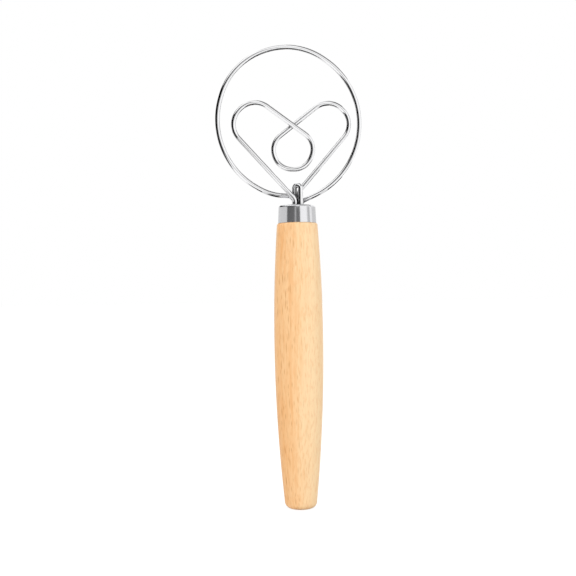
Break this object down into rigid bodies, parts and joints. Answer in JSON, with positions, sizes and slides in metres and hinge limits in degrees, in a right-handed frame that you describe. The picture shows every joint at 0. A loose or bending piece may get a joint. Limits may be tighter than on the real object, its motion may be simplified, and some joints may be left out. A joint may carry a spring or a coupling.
{
  "type": "dough whisk",
  "caption": "Dough whisk with a flat round head of bent steel wire, an inner wire with two lobes and a centre loop, a steel ferrule and a turned wooden handle.",
  "frame": {"origin": "centre of the handle's flat butt face, on the handle's axis", "axes": "+Z runs along the handle's axis from the butt to the wire ring; the ring lies in the XZ plane and its front looks along -Y; +X is to the right in that front view"},
  "size_m": [0.0729, 0.0242, 0.23],
  "materials": {
    "handle": "pale close-pored hardwood, turned and clear finished",
    "ferrule": "drawn stainless steel sheet, polished",
    "outer_ring": "polished stainless steel wire",
    "inner_loop": "polished stainless steel wire",
    "hairpin": "polished stainless steel wire",
    "adhesive": "set clear resin, inside the handle"
  },
  "bodies": {
    "root": {"handle": "handle", "ferrule": "ferrule", "outer_ring": "outer_ring", "inner_loop": "inner_loop", "hairpin": "hairpin", "adhesive": "adhesive"}
  },
  "joints": []
}
